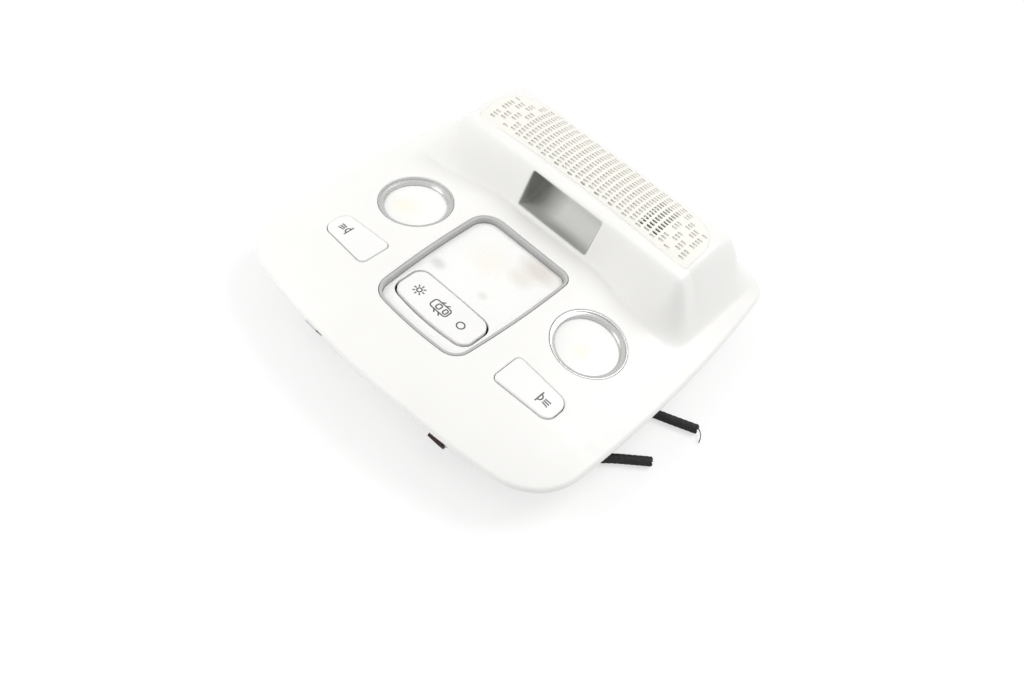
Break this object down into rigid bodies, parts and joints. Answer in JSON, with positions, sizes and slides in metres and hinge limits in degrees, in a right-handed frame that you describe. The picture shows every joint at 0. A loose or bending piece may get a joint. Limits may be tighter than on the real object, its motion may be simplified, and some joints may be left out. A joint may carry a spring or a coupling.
{
  "type": "car roof console light",
  "caption": "Front roof console of a car: courtesy lens, two round reading lamps, push buttons, a three-way rocker and a curved slotted microphone grille on a raised hump with a display pocket.",
  "frame": {"origin": "middle of the footprint of the console without its loose cables, on the surface its housing lies on", "axes": "+X from the left reading lamp to the right one, +Y from the button edge to the raised grille, +Z out of the face"},
  "size_m": [0.2069, 0.192, 0.0575],
  "materials": {
    "face_plastic": "fine-grained satin",
    "grille_plastic": "satin",
    "switch_plastic": "satin",
    "tray_plastic": "satin",
    "ring_plastic": "satin silver paint",
    "diffuser": "milky clear plastic",
    "clear_lens": "clear plastic, lightly frosted",
    "bright_metal": "vapour-coated",
    "bulb_glass": "clear glass",
    "holder_plastic": "satin",
    "board": "satin",
    "dark_plastic": "satin",
    "inner_plastic": "satin",
    "housing_plastic": "moulded",
    "felt": "felted",
    "brass": "stamped",
    "steel": "sprung",
    "rubber": "matt",
    "cable_jacket": "satin"
  },
  "bodies": {
    "console": {"fascia": "face_plastic", "grille": "grille_plastic", "acoustic_felt": "felt", "microphone": "dark_plastic", "blank_tray": "tray_plastic", "courtesy_lens": "diffuser", "lamp_ring_left": "ring_plastic", "lamp_ring_right": "ring_plastic", "reading_lens_left": "clear_lens", "reading_lens_right": "clear_lens", "reflector_left": "bright_metal", "reflector_right": "bright_metal", "reflector_centre": "inner_plastic", "bulb_left": "bulb_glass", "bulb_right": "bulb_glass", "bulb_centre": "bulb_glass", "bulb_holder_left": "holder_plastic", "bulb_holder_right": "holder_plastic", "bulb_holder_centre": "holder_plastic", "rocker_frame": "dark_plastic", "switch_body_left": "dark_plastic", "switch_body_right": "dark_plastic", "circuit_board": "board", "board_parts": "dark_plastic", "contact_strips": "brass", "back_housing": "housing_plastic", "connector_header": "inner_plastic", "connector_pins": "brass", "housing_screws": "steel", "front_clips": "steel", "rear_clips": "steel", "grommets": "rubber", "cable_upper": "cable_jacket", "cable_lower": "cable_jacket"},
    "rocker": {"rocker": "switch_plastic"},
    "slider": {"slider": "inner_plastic"},
    "button_left": {"button_left": "switch_plastic", "plunger_left": "inner_plastic"},
    "button_right": {"button_right": "switch_plastic", "plunger_right": "inner_plastic"}
  },
  "joints": [
    {"name": "rocker_tilt", "type": "hinge", "parent": "console", "child": "rocker", "pos_m": [0, -0.0474, 0.025], "axis": [0, 1, 0], "range_deg": [-6, 6]},
    {"name": "slider_travel", "type": "slide", "parent": "console", "child": "slider", "axis": [1, 0, 0], "range_m": [-0.001, 0.001]},
    {"name": "button_left_press", "type": "slide", "parent": "console", "child": "button_left", "axis": [0.1045, 0, -0.9945], "range_m": [0, 0.0015], "stiffness_N_per_m": 400, "springref_m": -0.002},
    {"name": "button_right_press", "type": "slide", "parent": "console", "child": "button_right", "axis": [-0.1045, 0, -0.9945], "range_m": [0, 0.0015], "stiffness_N_per_m": 400, "springref_m": -0.002}
  ],
  "couplings": [
    {"joint": "slider_travel", "follows": "rocker_tilt", "m_per_rad": -0.009}
  ]
}
